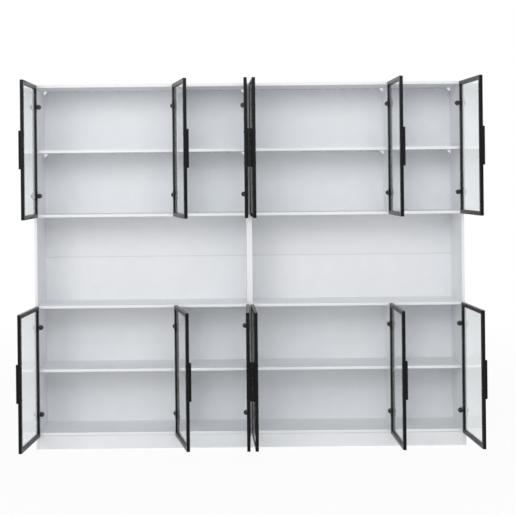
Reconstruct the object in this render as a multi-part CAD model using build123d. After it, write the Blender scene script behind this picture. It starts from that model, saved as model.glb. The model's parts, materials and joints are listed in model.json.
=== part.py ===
from build123d import *
import os

# Display bookcase: two matching board units side by side, each with two rows of
# three side-hung glass doors in slim black frames and an open bay between the rows.
# Frame: x to the right, y to the back, z up. The origin is on the floor, in the middle
# of the footprint, where the two units meet. All sizes are in millimetres.

# Carcass of one unit
unit_width = 1180.0
unit_height = 2000.0
board_depth = 295.0
board_thickness = 15.0
back_thickness = 5.0

# Levels above the floor, to the underside of each board
bottom_level = 76.0
lower_shelf_level = 423.0
lower_top_level = 773.0
upper_floor_level = 1273.0
upper_shelf_level = 1627.0

# Setbacks and joints of the carcass
shelf_setback = 6.0
plinth_setback = 4.0
plinth_gap = 2.0
back_inset = 2.0
back_seam_level = 1035.0
seam_strip_height = 6.0
seam_strip_lip = 0.8
seam_strip_web = 1.6
corner_block_size = 14.0
corner_block_wall = 3.0

# Fasteners of the carcass
dowel_radius = 4.0
dowel_in_face = 7.0
dowel_in_end = 23.0
dowel_setback = 62.0
fastener_fit = 0.1
fastener_end_room = 0.5
panel_screw_radius = 3.2
panel_screw_head_radius = 5.0
panel_screw_head_height = 3.0
panel_screw_length = 50.0
panel_screw_setback = 38.0
back_screw_radius = 1.5
back_screw_head_radius = 3.0
back_screw_head_height = 1.5
back_screw_length = 16.0
back_screws_per_side = 8
back_screws_per_board = 4
connector_radius = 3.0
connector_head_radius = 6.0
connector_head_height = 1.5
connector_setback = 80.0
connector_levels = (250.0, 600.0, 1450.0, 1800.0)

# Doors
door_thickness = 17.0
door_gap = 6.0
door_reveal = 2.0
door_standoff = 4.0
lower_door_drop = 4.0
rail_width = 20.0
mitre_gap = 0.1
front_lip = 2.0
glass_thickness = 4.0
glass_side_room = 0.25
glass_edge_room = 0.25
groove_depth = 6.5
profile_wall = 1.5
corner_key_leg = 46.0
corner_key_room = 0.2
door_seat_room = 0.02

# Door pulls
pull_length = 200.0
pull_projection = 11.0
pull_width = 14.0
pull_foot_width = 10.0
pull_setback = 4.0
pull_edge = 1.0
pull_screw_pitch = 160.0
pull_screw_radius = 2.0
pull_screw_bite = 7.0
pull_screw_head_radius = 3.5
pull_screw_head_height = 1.6

# Hinges: a pin near the outer corner of the stile, held by a leaf let into the door,
# turns in the eye of a cranked arm screwed to the panel
hinge_inset = 118.0
pin_radius = 2.0
pin_inset = 8.0
pin_depth = 5.5
pin_fit = 0.05
eye_radius = 3.5
arm_height = 18.0
arm_length = 46.0
arm_projection = 22.0
arm_tail_projection = 8.0
arm_nose_length = 22.0
arm_nose_chamfer = 4.0
arm_nose_taper = 4.0
finger_outer = 1.2
finger_inner = 2.8
crank_door_room = 1.0
crank_panel_room = 0.6
arm_screw_setbacks = (13.0, 35.0)
arm_screw_radius = 2.0
arm_screw_head_radius = 3.6
arm_screw_head_height = 2.5
arm_screw_seat = 4.0
arm_screw_bite = 11.0
leaf_height = 46.0
leaf_axial_room = 0.5
leaf_fit = 0.2
leaf_thickness = 2.0
leaf_start = 4.0
leaf_fold = 2.5
leaf_fold_room = 1.0
pocket_width = 12.0
pocket_wall = 1.2
leaf_screw_radius = 1.5
leaf_screw_head_radius = 3.0
leaf_screw_head_height = 1.0
leaf_screw_length = 6.0
leaf_screw_inset = 15.5

# How far each door stands open at rest, in degrees from closed, by unit, place and row
rest_opening = {
    ("left", "left"): {"lower": 94.6, "upper": 90.7},
    ("left", "middle"): {"lower": 101.3, "upper": 101.3},
    ("left", "right"): {"lower": 88.7, "upper": 88.7},
    ("right", "left"): {"lower": 88.7, "upper": 88.7},
    ("right", "middle"): {"lower": 91.2, "upper": 91.2},
    ("right", "right"): {"lower": 93.6, "upper": 93.6},
}

# Values that follow from the sizes above
units = ("left", "right")
rows = ("lower", "upper")
unit_left_edge = {"left": -unit_width, "right": 0.0}
depth = board_depth + back_thickness
front_y = -depth / 2
back_y = depth / 2 - back_thickness
top_level = unit_height - board_thickness
door_width = (unit_width - 2 * door_reveal - 2 * door_gap) / 3
divider_middle = door_reveal + 2 * door_width + 1.5 * door_gap
pin_y = front_y - door_standoff - (door_thickness - pin_depth)
pin_to_inner_face = door_thickness - pin_depth
pin_to_panel_front = pin_to_inner_face + door_standoff
groove_width = glass_thickness + 2 * glass_side_room
row_doors = {
    "lower": (bottom_level - lower_door_drop, lower_top_level + board_thickness - door_reveal),
    "upper": (upper_floor_level, unit_height - door_reveal),
}
row_bays = {
    "lower": (bottom_level + board_thickness, lower_top_level, lower_shelf_level),
    "upper": (upper_floor_level + board_thickness, top_level, upper_shelf_level),
}
fixed_levels = {
    "bottom_panel": bottom_level,
    "lower_top": lower_top_level,
    "upper_floor": upper_floor_level,
    "top_panel": top_level,
}


def block(x, y, z):
    """A box between three (low, high) pairs."""
    spans = (x, y, z)
    size = [high - low for low, high in spans]
    middle = [(high + low) / 2 for low, high in spans]
    return Pos(*middle) * Box(*size)


def rod(start, direction, radius, length):
    """A cylinder from a start point along a direction."""
    from_start = (Align.CENTER, Align.CENTER, Align.MIN)
    return Plane(origin=start, z_dir=direction) * Cylinder(radius, length, align=from_start)


def prism(points, direction, length):
    """A flat outline of (x, y, z) points pushed along a direction."""
    return extrude(make_face(Polyline(*points, close=True)), amount=length, dir=direction)


def along(start, direction, distance):
    """The point at a distance from a start point."""
    return tuple(s + d * distance for s, d in zip(start, direction))


def headed_screw(seat, direction, shank, head, fit=0.0, room=0.0):
    """A screw whose head lies behind its seat; with fit and room it is the hole for it."""
    shank_radius, shank_length = shank
    head_radius, head_height = head
    head_start = along(seat, direction, -head_height - room)
    body = rod(seat, direction, shank_radius + fit, shank_length + room)
    return body + rod(head_start, direction, head_radius + fit, head_height + room)


def save(name, solids):
    """One file for a node of one or more separate solids."""
    shape = solids[0] if len(solids) == 1 else Compound(children=list(solids))
    export_step(shape, "parts/%s.step" % name)


# Carcass boards, before their holes are drilled

def unit_boards(unit):
    """The plain boards of one unit by name."""
    left = unit_left_edge[unit]
    right = left + unit_width
    inner = (left + board_thickness, right - board_thickness)
    divider = left + divider_middle
    divider_x = (divider - board_thickness / 2, divider + board_thickness / 2)
    full_y = (front_y, back_y)
    shelf_y = (front_y + shelf_setback, back_y)
    plinth_y = (front_y + plinth_setback, front_y + plinth_setback + board_thickness)
    back_x = (left + back_inset, right - back_inset)
    back_span = (back_y, back_y + back_thickness)
    seam_low = back_seam_level - seam_strip_web / 2
    seam_high = back_seam_level + seam_strip_web / 2
    boards = {
        "side_left": block((left, inner[0]), full_y, (0, unit_height)),
        "side_right": block((inner[1], right), full_y, (0, unit_height)),
        "plinth": block(inner, plinth_y, (0, bottom_level - plinth_gap)),
        "back_lower": block(back_x, back_span, (bottom_level, seam_low)),
        "back_upper": block(back_x, back_span, (seam_high, unit_height - back_inset)),
        "seam_web": block(back_x, back_span, (seam_low, seam_high)),
        "seam_lip": block(
            inner,
            (back_y - seam_strip_lip, back_y),
            (back_seam_level - seam_strip_height / 2, back_seam_level + seam_strip_height / 2),
        ),
    }
    boards["seam_strip"] = boards.pop("seam_web") + boards.pop("seam_lip")
    for name, level in fixed_levels.items():
        boards[name] = block(inner, full_y, (level, level + board_thickness))
    for row in rows:
        floor_level, ceiling_level, shelf_level = row_bays[row]
        shelf_z = (shelf_level, shelf_level + board_thickness)
        boards[row + "_divider"] = block(divider_x, full_y, (floor_level, ceiling_level))
        boards[row + "_wide_shelf"] = block((inner[0], divider_x[0]), shelf_y, shelf_z)
        boards[row + "_narrow_shelf"] = block((divider_x[1], inner[1]), shelf_y, shelf_z)
    return boards


carcass = {unit: unit_boards(unit) for unit in units}
holes = {unit: {name: [] for name in carcass[unit]} for unit in units}
dowels = []
carcass_screws = []


def add_dowel(unit, face_board, end_board, start, direction):
    """A dowel from the face of one board into the end of another, with both blind holes."""
    inward = tuple(-d for d in direction)
    dowel_start = along(start, inward, dowel_in_face)
    dowels.append(rod(dowel_start, direction, dowel_radius, dowel_in_face + dowel_in_end))
    hole_radius = dowel_radius + fastener_fit
    holes[unit][face_board].append(rod(start, inward, hole_radius, dowel_in_face + fastener_end_room))
    holes[unit][end_board].append(rod(start, direction, hole_radius, dowel_in_end + fastener_end_room))


def add_panel_screw(unit, side_board, end_board, start, direction):
    """A countersunk screw through a side panel into the end of a board."""
    shank = (panel_screw_radius, panel_screw_length - panel_screw_head_height)
    head = (panel_screw_head_radius, panel_screw_head_height)
    seat = along(start, direction, panel_screw_head_height)
    carcass_screws.append(headed_screw(seat, direction, shank, head))
    hole = headed_screw(seat, direction, shank, head, fastener_fit, fastener_end_room)
    holes[unit][side_board].append(hole)
    holes[unit][end_board].append(hole)


def add_back_screw(unit, back_board, board, x, z):
    """A small flush screw through the back panel into the rear edge of a board."""
    shank = (back_screw_radius, back_screw_length - back_screw_head_height)
    head = (back_screw_head_radius, back_screw_head_height)
    seat = (x, back_y + back_thickness - back_screw_head_height, z)
    carcass_screws.append(headed_screw(seat, (0, -1, 0), shank, head))
    hole = headed_screw(seat, (0, -1, 0), shank, head, fastener_fit, fastener_end_room)
    holes[unit][back_board].append(hole)
    holes[unit][board].append(hole)


def spread(low, high, count):
    """Evenly spaced places between two ends, half a step in from each."""
    step = (high - low) / count
    return [low + step * (index + 0.5) for index in range(count)]


def join_fixed_boards(unit):
    """Screws and a dowel at both ends of each fixed board, dowels in dividers and plinth."""
    left = unit_left_edge[unit]
    right = left + unit_width
    inner = (left + board_thickness, right - board_thickness)
    middle_y = (front_y + back_y) / 2
    screw_y = (front_y + panel_screw_setback, back_y - panel_screw_setback)
    dowel_y = (front_y + dowel_setback, back_y - dowel_setback)
    for name, level in fixed_levels.items():
        z = level + board_thickness / 2
        for y in screw_y:
            add_panel_screw(unit, "side_left", name, (left, y, z), (1, 0, 0))
            add_panel_screw(unit, "side_right", name, (right, y, z), (-1, 0, 0))
        add_dowel(unit, "side_left", name, (inner[0], middle_y, z), (1, 0, 0))
        add_dowel(unit, "side_right", name, (inner[1], middle_y, z), (-1, 0, 0))
    below = {"lower": "bottom_panel", "upper": "upper_floor"}
    above = {"lower": "lower_top", "upper": "top_panel"}
    divider_x = left + divider_middle
    for row in rows:
        floor_level, ceiling_level, _ = row_bays[row]
        for y in dowel_y:
            add_dowel(unit, below[row], row + "_divider", (divider_x, y, floor_level), (0, 0, 1))
            add_dowel(unit, above[row], row + "_divider", (divider_x, y, ceiling_level), (0, 0, -1))
    plinth_y = front_y + plinth_setback + board_thickness / 2
    plinth_z = (bottom_level - plinth_gap) / 2
    add_dowel(unit, "side_left", "plinth", (inner[0], plinth_y, plinth_z), (1, 0, 0))
    add_dowel(unit, "side_right", "plinth", (inner[1], plinth_y, plinth_z), (-1, 0, 0))


def join_shelves(unit):
    """Two dowels at each end of each shelf."""
    left = unit_left_edge[unit]
    inner = (left + board_thickness, left + unit_width - board_thickness)
    divider_x = left + divider_middle
    divider_faces = (divider_x - board_thickness / 2, divider_x + board_thickness / 2)
    for row in rows:
        z = row_bays[row][2] + board_thickness / 2
        divider = row + "_divider"
        wide = row + "_wide_shelf"
        narrow = row + "_narrow_shelf"
        for y in (front_y + dowel_setback, back_y - dowel_setback):
            add_dowel(unit, "side_left", wide, (inner[0], y, z), (1, 0, 0))
            add_dowel(unit, divider, wide, (divider_faces[0], y, z), (-1, 0, 0))
            add_dowel(unit, divider, narrow, (divider_faces[1], y, z), (1, 0, 0))
            add_dowel(unit, "side_right", narrow, (inner[1], y, z), (-1, 0, 0))


def fix_back(unit):
    """Screws through the back panels into the side panels and the fixed boards."""
    left = unit_left_edge[unit]
    right = left + unit_width
    half = board_thickness / 2
    for side, x in (("side_left", left + half), ("side_right", right - half)):
        for z in spread(bottom_level, unit_height, back_screws_per_side):
            back_board = "back_lower" if z < back_seam_level else "back_upper"
            add_back_screw(unit, back_board, side, x, z)
    for name, level in fixed_levels.items():
        back_board = "back_lower" if level < back_seam_level else "back_upper"
        for x in spread(left + board_thickness, right - board_thickness, back_screws_per_board):
            add_back_screw(unit, back_board, name, x, level + half)


def join_units():
    """Connector bolts with flat heads through the two inner side panels."""
    span = 2 * board_thickness
    y = back_y - connector_setback
    for z in connector_levels:
        shank_start = (-board_thickness, y, z)
        bolt = rod(shank_start, (1, 0, 0), connector_radius, span)
        for x, direction in ((-board_thickness, -1), (board_thickness, 1)):
            bolt += rod((x, y, z), (direction, 0, 0), connector_head_radius, connector_head_height)
        carcass_screws.append(bolt)
        hole = rod(shank_start, (1, 0, 0), connector_radius + fastener_fit, span)
        holes["left"]["side_right"].append(hole)
        holes["right"]["side_left"].append(hole)


def corner_blocks(unit):
    """Plated angle blocks in the back corners of each bay, under the top and the shelves."""
    left = unit_left_edge[unit]
    divider_x = left + divider_middle
    half = board_thickness / 2
    corners = (
        (left + board_thickness, 1),
        (divider_x - half, -1),
        (divider_x + half, 1),
        (left + unit_width - board_thickness, -1),
    )
    blocks = []
    for row in rows:
        for ceiling in row_bays[row][1:]:
            for x, side in corners:
                far_x = x + side * corner_block_size
                wall_x = x + side * corner_block_wall
                low_z = ceiling - corner_block_size
                wall_z = ceiling - corner_block_wall
                y = back_y - corner_block_size
                outline = ((x, low_z), (wall_x, low_z), (far_x, wall_z), (far_x, ceiling), (x, ceiling))
                points = [(px, y, pz) for px, pz in outline]
                blocks.append(prism(points, (0, 1, 0), corner_block_size))
    return blocks


# Doors are made closed and left-hinged, with the pin axis at the origin and the door's
# foot at z = 0; "across" is measured from the hinge edge and "inward" from the outer face

def door_place(shape):
    """Moves a shape from the door's corner to the pin axis."""
    return Pos(-pin_inset, -pin_depth, 0) * shape


def frame_bar(length):
    """A mitred hollow bar along x with its glass groove on the inner edge, and a hairline at each mitre."""
    bar = block((0, length), (0, door_thickness), (0, rail_width))
    groove_y = (front_lip, front_lip + groove_width)
    chamber_y = (groove_y[1] + profile_wall, door_thickness - profile_wall)
    groove = block((0, length), groove_y, (rail_width - groove_depth, rail_width))
    chamber = block((0, length), chamber_y, (profile_wall, rail_width - profile_wall))
    start = mitre_gap / 2 ** 0.5
    end = length - start
    outline = ((start, 0), (end, 0), (end - rail_width, rail_width), (start + rail_width, rail_width))
    mitre = prism([(x, 0, z) for x, z in outline], (0, 1, 0), door_thickness)
    return (bar - [groove, chamber]) & mitre


def hinge_heights(height):
    """Heights of the two hinges above the door's foot."""
    return (hinge_inset, height - hinge_inset)


def pull_screw_heights(height):
    """Heights of the two screws of the pull above the door's foot."""
    return (height / 2 - pull_screw_pitch / 2, height / 2 + pull_screw_pitch / 2)


pull_across = door_width - pull_setback - pull_width / 2
leaf_screw_offset = (leaf_height + arm_height) / 4 + leaf_axial_room / 2


def leaf_screws(height, fit=0.0, room=0.0):
    """Two screws in the wings of each hinge leaf."""
    seat_y = door_thickness + leaf_thickness
    shank = (leaf_screw_radius, leaf_screw_length)
    head = (leaf_screw_head_radius, leaf_screw_head_height)
    screws = []
    for z in hinge_heights(height):
        for offset in (-leaf_screw_offset, leaf_screw_offset):
            seat = (leaf_screw_inset, seat_y, z + offset)
            screws.append(headed_screw(seat, (0, -1, 0), shank, head, fit, room))
    return screws


def pull_screws(height, fit=0.0, room=0.0):
    """Two screws from the inner face of the free stile into the pull."""
    shank = (pull_screw_radius, door_thickness + pull_screw_bite)
    head = (pull_screw_head_radius, pull_screw_head_height)
    seat_y = door_thickness + door_seat_room
    seats = [(pull_across, seat_y, z) for z in pull_screw_heights(height)]
    return [headed_screw(seat, (0, -1, 0), shank, head, fit, room) for seat in seats]


def door_frame(height):
    """Two stiles and two rails, with hinge pockets and screw holes."""
    reach = leaf_height / 2 + leaf_fit
    pocket_y = (pocket_wall, door_thickness)
    pockets = [
        block((0, pocket_width), pocket_y, (z - reach, z + reach)) for z in hinge_heights(height)
    ]
    hinge_stile = Pos(0, 0, height) * Rot(0, 90, 0) * frame_bar(height)
    hinge_stile = hinge_stile - pockets - leaf_screws(height, fastener_fit, fastener_end_room)
    free_stile = Pos(door_width, 0, 0) * Rot(0, -90, 0) * frame_bar(height)
    free_stile = free_stile - pull_screws(height, fastener_fit, fastener_end_room)
    bottom_rail = frame_bar(door_width)
    top_rail = Pos(door_width, 0, height) * Rot(0, 180, 0) * frame_bar(door_width)
    return [hinge_stile, free_stile, bottom_rail, top_rail]


def door_glass(height):
    """The pane, standing in the grooves of the frame."""
    edge = rail_width - groove_depth + glass_edge_room
    pane_y = (front_lip + glass_side_room, front_lip + glass_side_room + glass_thickness)
    return [block((edge, door_width - edge), pane_y, (edge, height - edge))]


def hinge_leaf(z):
    """Two lugs in the stile's pocket with wings on its face, joined along its inner side."""
    gap = arm_height / 2 + leaf_axial_room
    reach = leaf_height / 2
    wing_y = (door_thickness + door_seat_room, door_thickness + leaf_thickness)
    lug_y = (pocket_wall + leaf_fit, wing_y[0])
    fold_y = (front_lip + groove_width + leaf_fold_room, wing_y[0])
    fold_x = (rail_width + door_seat_room, rail_width + leaf_fold)
    leaf = block(fold_x, fold_y, (z - reach, z + reach))
    for low, high in ((z - reach, z - gap), (z + gap, z + reach)):
        leaf += block((0, pocket_width - leaf_fit), lug_y, (low, high))
        leaf += block((leaf_start, fold_x[1]), wing_y, (low, high))
    return leaf - rod((pin_inset, pin_depth, z - reach), (0, 0, 1), pin_radius + pin_fit, leaf_height)


def door_pull(height):
    """A solid pull, wider at its front than at its foot, with two blind screw holes."""
    foot = pull_foot_width / 2
    front = pull_width / 2
    half_profile = [
        (foot, -door_seat_room),
        (front, pull_edge - pull_projection),
        (front - pull_edge, -pull_projection),
    ]
    profile = half_profile + [(-x, y) for x, y in reversed(half_profile)]
    low = height / 2 - pull_length / 2
    points = [(pull_across + x, y, low) for x, y in profile]
    pull = prism(points, (0, 0, 1), pull_length)
    return pull - pull_screws(height, fastener_fit, fastener_end_room)


def corner_key(x_side, z_side, x, z):
    """An angle piece inside the hollow bars of one corner."""
    low = profile_wall + corner_key_room
    high = rail_width - profile_wall - corner_key_room
    inner_y = front_lip + groove_width + profile_wall + corner_key_room
    key_y = (inner_y, door_thickness - profile_wall - corner_key_room)

    def leg(x_reach, z_reach):
        x_pair = sorted((x + x_side * low, x + x_side * x_reach))
        z_pair = sorted((z + z_side * low, z + z_side * z_reach))
        return block(x_pair, key_y, z_pair)

    return leg(corner_key_leg, high) + leg(high, corner_key_leg)


def door_hardware(height):
    """Pull, hinge leaves, pins, screws and corner keys of one door."""
    leaf_holes = leaf_screws(height, fastener_fit)
    leaves = [hinge_leaf(z) - leaf_holes for z in hinge_heights(height)]
    pins = [
        rod((pin_inset, pin_depth, z - leaf_height / 2), (0, 0, 1), pin_radius, leaf_height)
        for z in hinge_heights(height)
    ]
    keys = [
        corner_key(x_side, z_side, x, z)
        for x, x_side in ((0, 1), (door_width, -1))
        for z, z_side in ((0, 1), (height, -1))
    ]
    return [door_pull(height)] + leaves + pins + leaf_screws(height) + pull_screws(height) + keys


def hinge_arm(panel_x):
    """A cranked arm at z = 0 with its eye on the pin axis; panel_x is the panel's face."""
    crank_front = pin_to_inner_face + crank_door_room
    crank_back = pin_to_panel_front - crank_panel_room
    nose_x = panel_x + arm_projection
    nose_y = pin_to_panel_front + arm_nose_length
    tail_y = pin_to_panel_front + arm_length
    outline = (
        (-finger_outer, 0),
        (finger_inner, 0),
        (finger_inner, crank_front),
        (nose_x - arm_nose_chamfer, crank_front),
        (nose_x, crank_front + arm_nose_chamfer),
        (nose_x, nose_y),
        (panel_x + arm_tail_projection, tail_y),
        (panel_x, tail_y),
        (panel_x, crank_back),
        (-finger_outer, crank_back),
    )
    low = -arm_height / 2
    arm = prism([(x, y, low) for x, y in outline], (0, 0, 1), arm_height)
    for side in (-1, 1):
        edge = side * arm_height / 2
        tapered_edge = edge - side * arm_nose_taper
        wedge = ((panel_x + arm_tail_projection, edge), (nose_x, edge), (nose_x, tapered_edge))
        arm -= prism([(x, crank_front, z) for x, z in wedge], (0, 1, 0), arm_length)
    arm += rod((0, 0, low), (0, 0, 1), eye_radius, arm_height)
    arm -= rod((0, 0, low), (0, 0, 1), pin_radius + pin_fit, arm_height)
    access_radius = arm_screw_head_radius + fastener_fit
    access = [rod(seat, (1, 0, 0), access_radius, arm_projection) for seat in arm_screw_seats(panel_x)]
    return arm - access - arm_screws(panel_x, fastener_fit, fastener_end_room)


def arm_screw_seats(panel_x):
    """Where the heads of the two screws of an arm bear."""
    seat_x = panel_x + arm_screw_seat
    return [(seat_x, pin_to_panel_front + setback, 0) for setback in arm_screw_setbacks]


def arm_screws(panel_x, fit=0.0, room=0.0):
    """Two screws through an arm into its panel."""
    shank = (arm_screw_radius, arm_screw_seat + arm_screw_bite)
    head = (arm_screw_head_radius, arm_screw_head_height)
    return [headed_screw(seat, (-1, 0, 0), shank, head, fit, room) for seat in arm_screw_seats(panel_x)]


def door_layout(unit, position):
    """Pin place, hinge side, panel face beside the pin, and the panel, for one door."""
    left = unit_left_edge[unit]
    right = left + unit_width
    divider_face = left + divider_middle - board_thickness / 2
    if position == "left":
        pin_x = left + door_reveal + pin_inset
        return pin_x, 1, left + board_thickness - pin_x, "side_left"
    if position == "middle":
        pin_x = left + divider_middle - door_gap / 2 - pin_inset
        return pin_x, -1, pin_x - divider_face, "divider"
    pin_x = right - door_reveal - pin_inset
    return pin_x, -1, pin_x - (right - board_thickness), "side_right"


def handed(shape, side):
    """The shape itself on a left-hinged door, its mirror image on a right-hinged one."""
    return shape if side > 0 else mirror(shape, about=Plane.YZ)


def build_doors():
    """Saves the nodes of every door and returns the hinge arms and their screws."""
    makers = {"frame": door_frame, "glass": door_glass, "hardware": door_hardware}
    arms = []
    screws = []
    for row in rows:
        foot, head = row_doors[row]
        height = head - foot
        plain = {name: [door_place(solid) for solid in make(height)] for name, make in makers.items()}
        for (unit, position), opening in rest_opening.items():
            pin_x, side, panel_x, panel = door_layout(unit, position)
            place = Pos(pin_x, pin_y, foot) * Rot(0, 0, -side * opening[row])
            for name, solids in plain.items():
                node = "%s_unit_%s_%s_%s" % (unit, row, position, name)
                save(node, [place * handed(solid, side) for solid in solids])
            board = panel if panel != "divider" else row + "_divider"
            for z in hinge_heights(height):
                at_hinge = Pos(pin_x, pin_y, foot + z)
                arms.append(at_hinge * handed(hinge_arm(panel_x), side))
                screws += [at_hinge * handed(screw, side) for screw in arm_screws(panel_x)]
                bores = arm_screws(panel_x, fastener_fit, fastener_end_room)
                holes[unit][board] += [at_hinge * handed(bore, side) for bore in bores]
    return arms, screws


def drill(board, bores):
    """A board with its holes, if it has any."""
    return board - bores if bores else board


def build_carcass():
    """Saves the drilled boards and the fasteners of both units."""
    for unit in units:
        join_fixed_boards(unit)
        join_shelves(unit)
        fix_back(unit)
    join_units()
    drilled = {
        unit: {name: drill(board, holes[unit][name]) for name, board in boards.items()}
        for unit, boards in carcass.items()
    }
    groups = {
        "dividers": [row + "_divider" for row in rows],
        "shelves": [row + size for row in rows for size in ("_wide_shelf", "_narrow_shelf")],
        "back_panels": ["back_lower", "back_upper", "seam_strip"],
    }
    single = ["side_left", "side_right"] + list(fixed_levels)
    for unit in units:
        for name in single:
            save("%s_unit_%s" % (unit, name), [drilled[unit][name]])
        for group, names in groups.items():
            save("%s_unit_%s" % (unit, group), [drilled[unit][name] for name in names])
    save("plinths", [drilled[unit]["plinth"] for unit in units])
    save("corner_blocks", [solid for unit in units for solid in corner_blocks(unit)])
    save("dowels", dowels)
    save("carcass_screws", carcass_screws)


os.makedirs("parts", exist_ok=True)
hinge_arms, hinge_screws = build_doors()
save("hinge_arms", hinge_arms)
save("hinge_screws", hinge_screws)
build_carcass()
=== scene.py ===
"""Looks of a white bookcase of two matching units with black-framed glass doors."""
import json
import math

import bmesh
import bpy
from mathutils import Matrix, Vector


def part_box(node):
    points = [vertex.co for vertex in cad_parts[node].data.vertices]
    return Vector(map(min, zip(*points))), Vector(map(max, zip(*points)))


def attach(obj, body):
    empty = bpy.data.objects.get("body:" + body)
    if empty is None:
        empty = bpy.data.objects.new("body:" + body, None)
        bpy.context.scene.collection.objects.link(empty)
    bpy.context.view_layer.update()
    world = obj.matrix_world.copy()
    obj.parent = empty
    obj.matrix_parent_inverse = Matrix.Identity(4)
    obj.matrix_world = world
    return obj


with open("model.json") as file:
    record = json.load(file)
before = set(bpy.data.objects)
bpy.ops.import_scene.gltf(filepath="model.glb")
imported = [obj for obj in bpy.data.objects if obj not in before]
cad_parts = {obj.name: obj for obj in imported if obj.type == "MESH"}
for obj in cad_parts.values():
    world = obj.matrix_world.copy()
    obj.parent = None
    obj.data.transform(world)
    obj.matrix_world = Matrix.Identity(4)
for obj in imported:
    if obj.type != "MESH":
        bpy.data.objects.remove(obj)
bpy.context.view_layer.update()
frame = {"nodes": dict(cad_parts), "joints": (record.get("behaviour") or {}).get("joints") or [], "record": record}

scene = bpy.context.scene
scene.view_settings.view_transform = "Standard"
nodes = frame["nodes"]
slot_of = {entry["node"]: entry["material_slot"] for entry in frame["record"]["subparts"]}

# Places and sizes of the solids that the looks line up with, in metres
side_outer_x = 1.18
bottom_level = 0.076
strip_front = 0.1446
back_front = 0.145
shade_line_levels = (1.985, 1.627)
door_thickness = 0.017
stile_width = 0.02
pane_inner = 0.00625
pin_inset = 0.008
pin_depth = 0.0055
hinge_inset = 0.118
leaf_screw_across = 0.0155
leaf_screw_offset = 0.01625
leaf_screw_radius = 0.003
leaf_screw_height = 0.001
leaf_thickness = 0.002
arm_projection = 0.022
corner_block_wall = 0.003

# Sizes and places of the small trim, in metres
cover_size = 0.019
cover_rim = 0.0006
cover_gap = 0.00005
cover_screw_inset = cover_size * 0.35
cover_screw_sink = 0.0003
hinge_cap_offset = 0.0138
hinge_cap_rear = -0.13
head_overhang = 0.0001
head_lift = 0.00005
head_root = -0.0002
bead_size = 0.0022

# How far a corner cover's front falls back for each metre across or down it
cover_lean = 0.14

# Turned forms: (radius, height) points in metres, and the number of steps round them
cap_profile = (
    (0.0, 0.0), (0.0065, 0.0), (0.0065, 0.0004), (0.0061, 0.0008), (0.0045, 0.001), (0.0, 0.0011),
)
cover_screw_profile = (
    (0.0, 0.0), (0.0021, 0.0), (0.0021, 0.0006), (0.0015, 0.001), (0.0005, 0.0011), (0.0, 0.0007),
)
hinge_cap_profile = (
    (0.0, 0.0), (0.0127, 0.0), (0.0133, 0.0012), (0.0133, 0.0128), (0.0125, 0.0155),
    (0.0108, 0.0168), (0.004, 0.0173), (0.0031, 0.0166), (0.0, 0.0164),
)
cap_steps = 24
screw_steps = 16
hinge_cap_steps = 32
quarter_turn = math.pi / 2

# Softened edges, radius in metres for each material slot
edge_radius = {
    "white_board": 0.0008,
    "black_frame": 0.0003,
    "hinge_metal": 0.0006,
    "bright_plate": 0.0006,
}
edge_segments = 2
sharp_edge = math.radians(60.0)

# Distances in metres within which points or faces count as one
weld_distance = 0.00001
foot_tolerance = 0.0001
face_tolerance = 0.0005

# Colours
board_shades = ((0.832, 0.846, 0.868), (0.858, 0.871, 0.892))
board_edge = (0.885, 0.895, 0.91)
back_shades = ((0.832, 0.845, 0.866), (0.856, 0.868, 0.888))
# Painted shade: the joint strip is coloured greyer to show the shade line at the seam
strip_shade_colour = (0.74, 0.745, 0.755)
# Painted shade: the dark line on the back panel under the boards
shade_line_colour = (0.3, 0.3, 0.31)
black_shades = ((0.0016, 0.0017, 0.0019), (0.0028, 0.0029, 0.0031))
black_gloss = (0.24, 0.34)
black_specular = 0.16
glass_tint = (0.9, 0.925, 0.935, 1.0)
glass_shadow_tint = (0.86, 0.89, 0.9, 1.0)
floor_colour = (0.9, 0.9, 0.9, 1.0)
white = (1.0, 1.0, 1.0, 1.0)

# The painted shade line under the top boards: its uneven depth and its soft edge, in metres
shade_line_depth = (-0.0004, 0.0021)
shade_line_edge = 0.0005

# Soft edges of the joint strip's painted shade and of the banding above the plinth, in metres
strip_shade_edge = 0.0001
band_edge = 0.001

# The part of a noise value's range that is used, and the size of gloss patches beside colour patches
noise_low = 0.3
noise_high = 0.7
gloss_share = 0.3

# The floor's half width, the share of it that glows, and how the faint shadow on it fades
floor_reach = 30.0
floor_bounce = 0.2
shadow_start = 1.5
shadow_end = 6.0
shadow_level = 0.94

# The room's light at the horizon and above, and the upward part of a direction that counts as above
horizon_level = 0.66
above_level = 0.38
above_start = 0.8


# Materials

def add(tree, kind, **inputs):
    """A new shader node with the given input values, underscores standing for spaces."""
    node = tree.nodes.new(kind)
    for name, value in inputs.items():
        node.inputs[name.replace("_", " ")].default_value = value
    return node


def noise(tree, place, size, detail=3.0):
    """Noise whose patches are about size metres across, in the piece's own coordinates."""
    mapping = add(tree, "ShaderNodeMapping", Scale=[1.0 / size] * 3)
    tree.links.new(place, mapping.inputs["Vector"])
    texture = add(tree, "ShaderNodeTexNoise", Scale=1.0, Detail=detail)
    tree.links.new(mapping.outputs["Vector"], texture.inputs["Vector"])
    return texture.outputs["Fac"]


def ramp(tree, value, start, end, low=0.0, high=1.0):
    """A value that goes from low to high as the input goes from start to end."""
    node = add(tree, "ShaderNodeMapRange")
    for name, number in zip(("From Min", "From Max", "To Min", "To Max"), (start, end, low, high)):
        node.inputs[name].default_value = number
    tree.links.new(value, node.inputs["Value"])
    return node.outputs["Result"]


def spread(tree, value, low=0.0, high=1.0):
    """The middle of a noise value's range stretched to run from low to high."""
    return ramp(tree, value, noise_low, noise_high, low, high)


def calculate(tree, operation, first, second):
    """One sum on two values, each a socket or a number."""
    node = tree.nodes.new("ShaderNodeMath")
    node.operation = operation
    for socket, value in zip(node.inputs, (first, second)):
        if isinstance(value, bpy.types.NodeSocket):
            tree.links.new(value, socket)
        else:
            socket.default_value = value
    return node.outputs["Value"]


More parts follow.
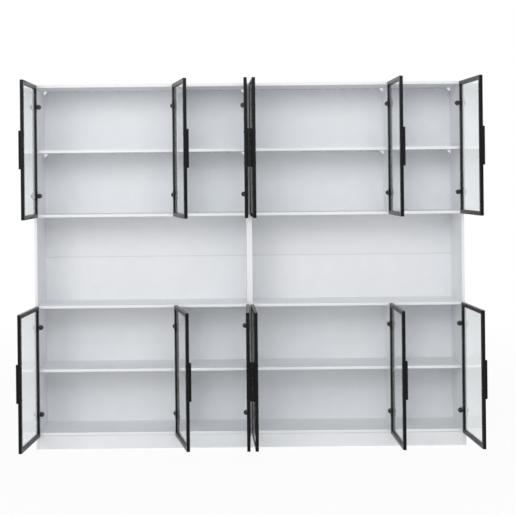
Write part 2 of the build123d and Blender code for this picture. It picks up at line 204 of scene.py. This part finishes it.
def mix_colour(tree, factor, first, second):
    """Two colours mixed by a factor socket. Each colour is a socket or three numbers."""
    node = tree.nodes.new("ShaderNodeMix")
    node.data_type = "RGBA"
    tree.links.new(factor, node.inputs["Factor"])
    for name, colour in (("A", first), ("B", second)):
        socket = next(s for s in node.inputs if s.name == name and s.type == "RGBA")
        if isinstance(colour, bpy.types.NodeSocket):
            tree.links.new(colour, socket)
        else:
            socket.default_value = (*colour, 1.0)
    return next(s for s in node.outputs if s.type == "RGBA")


def split(tree, vector):
    """The x, y and z sockets of a vector socket."""
    node = tree.nodes.new("ShaderNodeSeparateXYZ")
    tree.links.new(vector, node.inputs["Vector"])
    return node.outputs["X"], node.outputs["Y"], node.outputs["Z"]


def mix_shaders(tree, factor, first, second, output):
    """Two shader sockets mixed by a factor socket and joined to the output node."""
    join = tree.nodes.new("ShaderNodeMixShader")
    tree.links.new(factor, join.inputs["Fac"])
    tree.links.new(first, join.inputs[1])
    tree.links.new(second, join.inputs[2])
    tree.links.new(join.outputs["Shader"], output.inputs["Surface"])


def new_material(name):
    """A new material with its tree, main shader and the piece's own coordinates."""
    material = bpy.data.materials.new(name)
    material.use_nodes = True
    tree = material.node_tree
    shader = next(node for node in tree.nodes if node.type == "BSDF_PRINCIPLED")
    place = tree.nodes.new("ShaderNodeTexCoord").outputs["Object"]
    return material, tree, shader, place


def bumps(tree, shader, height, depth, strength=1.0):
    """Fine relief on the shader, depth in metres."""
    bump = add(tree, "ShaderNodeBump", Strength=strength, Distance=depth)
    tree.links.new(height, bump.inputs["Height"])
    tree.links.new(bump.outputs["Normal"], shader.inputs["Normal"])


def grained(name, shades, roughness, patch, grain, depth, specular=0.5, metallic=0.0):
    """A finish with soft colour patches, uneven gloss and a fine grain, its lengths in metres."""
    material, tree, shader, place = new_material(name)
    patches = spread(tree, noise(tree, place, patch))
    tree.links.new(mix_colour(tree, patches, *shades), shader.inputs["Base Color"])
    gloss = spread(tree, noise(tree, place, patch * gloss_share), *roughness)
    tree.links.new(gloss, shader.inputs["Roughness"])
    bumps(tree, shader, noise(tree, place, grain, detail=2.0), depth)
    shader.inputs["Specular IOR Level"].default_value = specular
    shader.inputs["Metallic"].default_value = metallic
    return material


def melamine():
    """White melamine board: orange-peel relief, faint mottling and brighter banded front edges."""
    material, tree, shader, place = new_material("white_melamine")
    mottle = spread(tree, noise(tree, place, size=0.09, detail=4.0))
    face = mix_colour(tree, mottle, *board_shades)
    normal = tree.nodes.new("ShaderNodeNewGeometry").outputs["True Normal"]
    front_facing = ramp(tree, split(tree, normal)[1], start=-0.8, end=-0.95)
    above_plinth = ramp(tree, split(tree, place)[2], start=bottom_level - band_edge, end=bottom_level)
    banded = calculate(tree, "MULTIPLY", front_facing, above_plinth)
    tree.links.new(mix_colour(tree, banded, face, board_edge), shader.inputs["Base Color"])
    gloss = spread(tree, noise(tree, place, size=0.02), low=0.36, high=0.46)
    tree.links.new(gloss, shader.inputs["Roughness"])
    bumps(tree, shader, noise(tree, place, size=0.0011, detail=2.0), depth=0.00006)
    return material


def fibreboard():
    """White lacquered back panel, a joint strip painted greyer as shade and an uneven painted shade line under the
    top boards.
    """
    material, tree, shader, place = new_material("white_fibreboard")
    mottle = spread(tree, noise(tree, place, size=0.07, detail=4.0))
    colour = mix_colour(tree, mottle, *back_shades)
    _, inward, height = split(tree, place)
    # Painted shade: the joint strip's lip is coloured greyer as the seam's shade line
    strip = ramp(tree, inward, start=strip_front + strip_shade_edge, end=strip_front)
    colour = mix_colour(tree, strip, colour, strip_shade_colour)
    # Painted shade: an uneven dark line on the back panel just under each board
    uneven = spread(tree, noise(tree, place, size=0.03, detail=4.0), *shade_line_depth)
    front_face = ramp(tree, inward, start=back_front + 2 * shade_line_edge, end=back_front + shade_line_edge)
    for level in shade_line_levels:
        below = calculate(tree, "SUBTRACT", level, height)
        under_level = ramp(tree, below, start=-shade_line_edge, end=0.0)
        near = ramp(tree, calculate(tree, "SUBTRACT", uneven, below), start=0.0, end=shade_line_edge)
        line = calculate(tree, "MULTIPLY", near, under_level)
        line = calculate(tree, "MULTIPLY", line, front_face)
        colour = mix_colour(tree, line, colour, shade_line_colour)
    tree.links.new(colour, shader.inputs["Base Color"])
    gloss = spread(tree, noise(tree, place, size=0.02), low=0.45, high=0.58)
    tree.links.new(gloss, shader.inputs["Roughness"])
    bumps(tree, shader, noise(tree, place, size=0.0016, detail=2.0), depth=0.00005)
    return material


def float_glass():
    """Clear glass with a faint grey-blue tint and slow waves, which lets the light of lamps through."""
    material, tree, shader, place = new_material("float_glass")
    shader.inputs["Base Color"].default_value = glass_tint
    shader.inputs["Transmission Weight"].default_value = 1.0
    shader.inputs["IOR"].default_value = 1.45
    haze = spread(tree, noise(tree, place, size=0.06, detail=5.0), low=0.0, high=0.03)
    tree.links.new(haze, shader.inputs["Roughness"])
    bumps(tree, shader, noise(tree, place, size=0.16, detail=1.0), depth=0.0003, strength=0.08)
    open_glass = add(tree, "ShaderNodeBsdfTransparent", Color=glass_shadow_tint)
    shadow_ray = tree.nodes.new("ShaderNodeLightPath").outputs["Is Shadow Ray"]
    output = next(node for node in tree.nodes if node.type == "OUTPUT_MATERIAL")
    mix_shaders(tree, shadow_ray, shader.outputs["BSDF"], open_glass.outputs["BSDF"], output)
    return material


finishes = {
    "white_board": melamine(),
    "white_back": fibreboard(),
    "bright_plate": grained(
        "bright_plate", shades=((0.88, 0.88, 0.89), (0.94, 0.94, 0.95)), roughness=(0.18, 0.28),
        patch=0.006, grain=0.0005, depth=0.00002, metallic=1.0),
    "dowel_wood": grained(
        "beech", shades=((0.6, 0.42, 0.26), (0.74, 0.57, 0.38)), roughness=(0.5, 0.65),
        patch=0.006, grain=0.0008, depth=0.0001),
    "screw_steel": grained(
        "zinc_plate", shades=((0.62, 0.63, 0.64), (0.74, 0.75, 0.76)), roughness=(0.24, 0.4),
        patch=0.003, grain=0.0004, depth=0.00002, metallic=1.0),
    "hinge_metal": grained(
        "dark_hinge", shades=((0.022, 0.0225, 0.024), (0.038, 0.039, 0.041)), roughness=(0.28, 0.4),
        patch=0.02, grain=0.0005, depth=0.00002),
    "black_frame": grained(
        "black_anodised", shades=black_shades, roughness=black_gloss,
        patch=0.05, grain=0.0004, depth=0.00003, specular=black_specular),
    "black_hardware": grained(
        "black_satin", shades=black_shades, roughness=black_gloss,
        patch=0.03, grain=0.0005, depth=0.00003, specular=black_specular),
    "clear_glass": float_glass(),
}
white_cap = grained(
    "moulded_cap", shades=((0.85, 0.855, 0.865), (0.88, 0.885, 0.895)), roughness=(0.3, 0.4),
    patch=0.006, grain=0.0006, depth=0.00003)
# A real rubber bead, its grey a painted sheen of the frame's recess
seal_rubber_sheen = grained(
    "grey_rubber_sheen", shades=((0.1, 0.101, 0.103), (0.13, 0.131, 0.133)), roughness=(0.5, 0.62),
    patch=0.01, grain=0.0006, depth=0.00004)
for name, slot in slot_of.items():
    nodes[name].data.materials.clear()
    nodes[name].data.materials.append(finishes[slot])


# Softened edges

def soften(name, width, clamped):
    """Rounds a node's sharp edges by a small radius, held back at small faces if clamped."""
    weld = nodes[name].modifiers.new("weld", "WELD")
    weld.merge_threshold = weld_distance
    bevel = nodes[name].modifiers.new("edges", "BEVEL")
    bevel.width = width
    bevel.segments = edge_segments
    bevel.limit_method = "ANGLE"
    bevel.angle_limit = sharp_edge
    bevel.use_clamp_overlap = clamped
    bevel.harden_normals = True


for name, slot in slot_of.items():
    if slot in edge_radius:
        soften(name, edge_radius[slot], slot == "hinge_metal")


# Small pieces

def solids(name):
    """The corner points of every solid in a node, one list for each."""
    mesh = bmesh.new()
    mesh.from_mesh(nodes[name].data)
    bmesh.ops.remove_doubles(mesh, verts=mesh.verts, dist=weld_distance)
    found = []
    visited = set()
    for first in mesh.verts:
        if first in visited:
            continue
        visited.add(first)
        stack = [first]
        corners = []
        while stack:
            vert = stack.pop()
            corners.append(vert.co.copy())
            for edge in vert.link_edges:
                other = edge.other_vert(vert)
                if other not in visited:
                    visited.add(other)
                    stack.append(other)
        found.append(corners)
    mesh.free()
    return found


def reach(corners):
    """The lowest and highest corner of the box round some points."""
    low = Vector(min(corner[axis] for corner in corners) for axis in range(3))
    high = Vector(max(corner[axis] for corner in corners) for axis in range(3))
    return low, high


def new_piece(name, mesh, material, body):
    """A finished piece made from a mesh, riding on a body."""
    bmesh.ops.recalc_face_normals(mesh, faces=mesh.faces)
    data = bpy.data.meshes.new(name)
    mesh.to_mesh(data)
    mesh.free()
    data.materials.append(material)
    piece = bpy.data.objects.new(name, data)
    scene.collection.objects.link(piece)
    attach(piece, body)


def seated(seat, angle, axis):
    """The place of a form that stands at a seat, turned by an angle about an axis."""
    return Matrix.Translation(seat) @ Matrix.Rotation(angle, 4, axis)


def turned(mesh, profile, place, steps):
    """A closed form turned about z from (radius, height) points that start and end on the axis."""
    angles = [2 * math.pi * step / steps for step in range(steps)]
    rings = []
    for radius, height in profile:
        if radius == 0.0:
            rings.append([mesh.verts.new(place @ Vector((0.0, 0.0, height)))])
            continue
        rings.append([
            mesh.verts.new(place @ Vector((radius * math.cos(angle), radius * math.sin(angle), height)))
            for angle in angles
        ])
    for lower, upper in zip(rings, rings[1:]):
        for step in range(steps):
            corners = [lower[step % len(lower)], lower[(step + 1) % len(lower)],
                       upper[(step + 1) % len(upper)], upper[step % len(upper)]]
            face = mesh.faces.new(dict.fromkeys(corners))
            face.smooth = True


caps = bmesh.new()
for screw in solids("carcass_screws"):
    low, high = reach(screw)
    for side, outer in ((-1, low.x), (1, high.x)):
        if abs(outer - side * side_outer_x) < face_tolerance:
            seat = Vector((side * side_outer_x, (low.y + high.y) / 2, (low.z + high.z) / 2))
            turned(caps, cap_profile, seated(seat, side * quarter_turn, "Y"), cap_steps)
new_piece("cover_caps", caps, white_cap, "carcass")


def corner_cover(mesh, block):
    """A plated wedge with a screw head on a corner block's front, turned a little down and inward."""
    low, high = reach(block)
    foot = [corner.x for corner in block if corner.z < low.z + foot_tolerance]
    wall = low.x if sum(foot) / len(foot) < (low.x + high.x) / 2 else high.x
    inward = 1.0 if wall == low.x else -1.0

    def front_point(across, drop, lift=0.0):
        """A point on the front of the wedge, so far from the wall and below the board."""
        proud = cover_rim + cover_lean * (2 * cover_size - across - drop) + lift
        return Vector((wall + inward * across, low.y - proud, high.z - drop))

    outline = ((0.0, cover_size), (corner_block_wall, cover_size), (cover_size, corner_block_wall),
               (cover_size, 0.0), (0.0, 0.0))
    front = [mesh.verts.new(front_point(across, drop)) for across, drop in outline]
    rear = [mesh.verts.new((vert.co.x, low.y - cover_gap, vert.co.z)) for vert in front]
    mesh.faces.new(rear)
    mesh.faces.new(front)
    for step in range(len(outline)):
        following = (step + 1) % len(outline)
        mesh.faces.new((rear[step], rear[following], front[following], front[step]))
    seat = front_point(cover_screw_inset, cover_screw_inset, -cover_screw_sink)
    turned(mesh, cover_screw_profile, seated(seat, quarter_turn, "X"), screw_steps)


covers = bmesh.new()
for block in solids("corner_blocks"):
    corner_cover(covers, block)
new_piece("corner_covers", covers, finishes["bright_plate"], "carcass")

hinge_caps = bmesh.new()
for arm in solids("hinge_arms"):
    low, high = reach(arm)
    hinge = min(frame["joints"], key=lambda joint: abs(joint["pos_m"][0] - (low.x + high.x) / 2))
    side = -hinge["axis"][2]
    panel_face = (high.x if side > 0 else low.x) - side * arm_projection
    seat = Vector((panel_face + side * hinge_cap_offset, hinge_cap_rear, (low.z + high.z) / 2))
    turned(hinge_caps, hinge_cap_profile, seated(seat, quarter_turn, "X"), hinge_cap_steps)
new_piece("hinge_caps", hinge_caps, finishes["hinge_metal"], "carcass")


def door_place(joint):
    """From a closed left-hinged door's own corner to where the door stands at rest."""
    side = -joint["axis"][2]
    opening = math.radians(-joint["range_deg"][0])
    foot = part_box(joint["child"].replace("_door", "_frame"))[0][2]
    pin = Vector((joint["pos_m"][0], joint["pos_m"][1], foot))
    hand = Matrix.Diagonal((side, 1.0, 1.0, 1.0))
    to_pin = Matrix.Translation((-pin_inset, -pin_depth, 0.0))
    return seated(pin, -side * opening, "Z") @ hand @ to_pin


def screw_heads(body, place, height):
    """Domed steel heads on the screws of a door's hinge leaves."""
    head_radius = leaf_screw_radius + head_overhang
    rim = leaf_screw_height + head_lift
    profile = (
        (0.0, head_root), (head_radius, head_root), (head_radius, rim),
        (head_radius * 0.86, rim + 0.0003), (head_radius * 0.5, rim + 0.0005),
        (head_radius * 0.38, rim + 0.0002), (0.0, rim + 0.0001),
    )
    mesh = bmesh.new()
    for level in (hinge_inset, height - hinge_inset):
        for offset in (-leaf_screw_offset, leaf_screw_offset):
            seat = Vector((leaf_screw_across, door_thickness + leaf_thickness, level + offset))
            turned(mesh, profile, place @ seated(seat, -quarter_turn, "X"), screw_steps)
    name = body.replace("_door", "_screw_heads")
    new_piece(name, mesh, finishes["screw_steel"], body)


def glass_seal(body, place, width, height):
    """A rubber bead round the inner face of a door's pane, where it meets the frame, painted grey as the sheen of
    the frame's recess.
    """
    section = (
        (0.0, 0.0), (bead_size, 0.0), (bead_size * 0.8, bead_size * 0.55),
        (bead_size * 0.4, bead_size * 0.9), (0.0, bead_size),
    )
    mesh = bmesh.new()
    loops = []
    for toward, inward in section:
        left = stile_width + toward
        right = width - left
        top = height - left
        y = pane_inner + inward
        corners = ((left, left), (right, left), (right, top), (left, top))
        loops.append([mesh.verts.new(place @ Vector((x, y, z))) for x, z in corners])
    for first, second in zip(loops, loops[1:] + loops[:1]):
        for corner in range(4):
            following = (corner + 1) % 4
            mesh.faces.new((first[corner], first[following], second[following], second[corner]))
    new_piece(body.replace("_door", "_seal"), mesh, seal_rubber_sheen, body)


for joint in frame["joints"]:
    body = joint["child"]
    place = door_place(joint)
    to_door = place.inverted()
    frame_mesh = nodes[body.replace("_door", "_frame")].data
    corners = [to_door @ vert.co for vert in frame_mesh.vertices]
    width = max(corner.x for corner in corners)
    height = max(corner.z for corner in corners)
    screw_heads(body, place, height)
    glass_seal(body, place, width, height)


# Room

def seen_rays(tree):
    """1 for rays that see the room itself, straight on, in gloss or through glass, else 0."""
    ray = tree.nodes.new("ShaderNodeLightPath")
    seen = ray.outputs["Is Camera Ray"]
    for name in ("Is Glossy Ray", "Is Transmission Ray"):
        seen = calculate(tree, "MAXIMUM", seen, ray.outputs[name])
    return seen


def pale_floor():
    """Pale floor that looks nearly white, with a faint shadow round the bookcase."""
    material = bpy.data.materials.new("pale_floor")
    material.use_nodes = True
    tree = material.node_tree
    tree.nodes.clear()
    matt = add(tree, "ShaderNodeBsdfDiffuse", Color=floor_colour)
    glow = add(tree, "ShaderNodeEmission", Strength=1.0)
    place = tree.nodes.new("ShaderNodeTexCoord").outputs["Object"]
    distance = tree.nodes.new("ShaderNodeVectorMath")
    distance.operation = "LENGTH"
    tree.links.new(place, distance.inputs[0])
    bright = ramp(tree, distance.outputs["Value"], shadow_start, shadow_end, shadow_level, 1.0)
    shown = calculate(tree, "MULTIPLY", seen_rays(tree), bright)
    glowing = calculate(tree, "MAXIMUM", shown, floor_bounce)
    output = tree.nodes.new("ShaderNodeOutputMaterial")
    mix_shaders(tree, glowing, matt.outputs["BSDF"], glow.outputs["Emission"], output)
    return material


def white_room():
    """A room that looks white and lights the bookcase evenly, a little less from above."""
    world = bpy.data.worlds.new("room")
    world.use_nodes = True
    tree = world.node_tree
    tree.nodes.clear()
    upward = split(tree, tree.nodes.new("ShaderNodeTexCoord").outputs["Generated"])[2]
    level = ramp(tree, upward, 0.0, above_start, horizon_level, above_level)
    ambient = add(tree, "ShaderNodeBackground", Color=white)
    tree.links.new(level, ambient.inputs["Strength"])
    seen = add(tree, "ShaderNodeBackground", Color=white, Strength=1.0)
    output = tree.nodes.new("ShaderNodeOutputWorld")
    mix_shaders(tree, seen_rays(tree), ambient.outputs["Background"], seen.outputs["Background"], output)
    return world


def softbox(name, place, target, size, power):
    """A rectangular studio lamp of (width, height) at a place, turned to a target point."""
    light = bpy.data.objects.new(name, bpy.data.lights.new(name, "AREA"))
    scene.collection.objects.link(light)
    light.data.shape = "RECTANGLE"
    light.data.size, light.data.size_y = size
    light.data.energy = power
    light.location = place
    light.rotation_euler = (Vector(target) - light.location).to_track_quat("-Z", "Y").to_euler()
    light.visible_camera = False


floor_mesh = bpy.data.meshes.new("floor")
floor_signs = ((-1, -1), (1, -1), (1, 1), (-1, 1))
floor_corners = [(x * floor_reach, y * floor_reach, 0.0) for x, y in floor_signs]
floor_mesh.from_pydata(floor_corners, [], [(0, 1, 2, 3)])
floor_mesh.materials.append(pale_floor())
floor = bpy.data.objects.new("floor", floor_mesh)
scene.collection.objects.link(floor)

scene.world = white_room()
softbox("key", place=(-4.67, -8.15, 3.28), target=(0.0, 0.0, 1.0), size=(3.5, 4.1), power=152.0)
softbox("front", place=(0.25, -4.3, 3.3), target=(0.0, 0.0, 0.4), size=(3.6, 2.2), power=66.0)


# Camera

camera = bpy.data.objects.new("camera", bpy.data.cameras.new("camera"))
scene.collection.objects.link(camera)
camera.data.sensor_width = 36.0
camera.data.lens = 78.75
camera.data.shift_x = 0.0598
camera.data.shift_y = -0.1561
camera.location = (-0.121, -6.335, 1.485)
camera_roll = math.radians(0.6)
camera.rotation_euler = (quarter_turn, camera_roll, 0.0)
scene.camera = camera
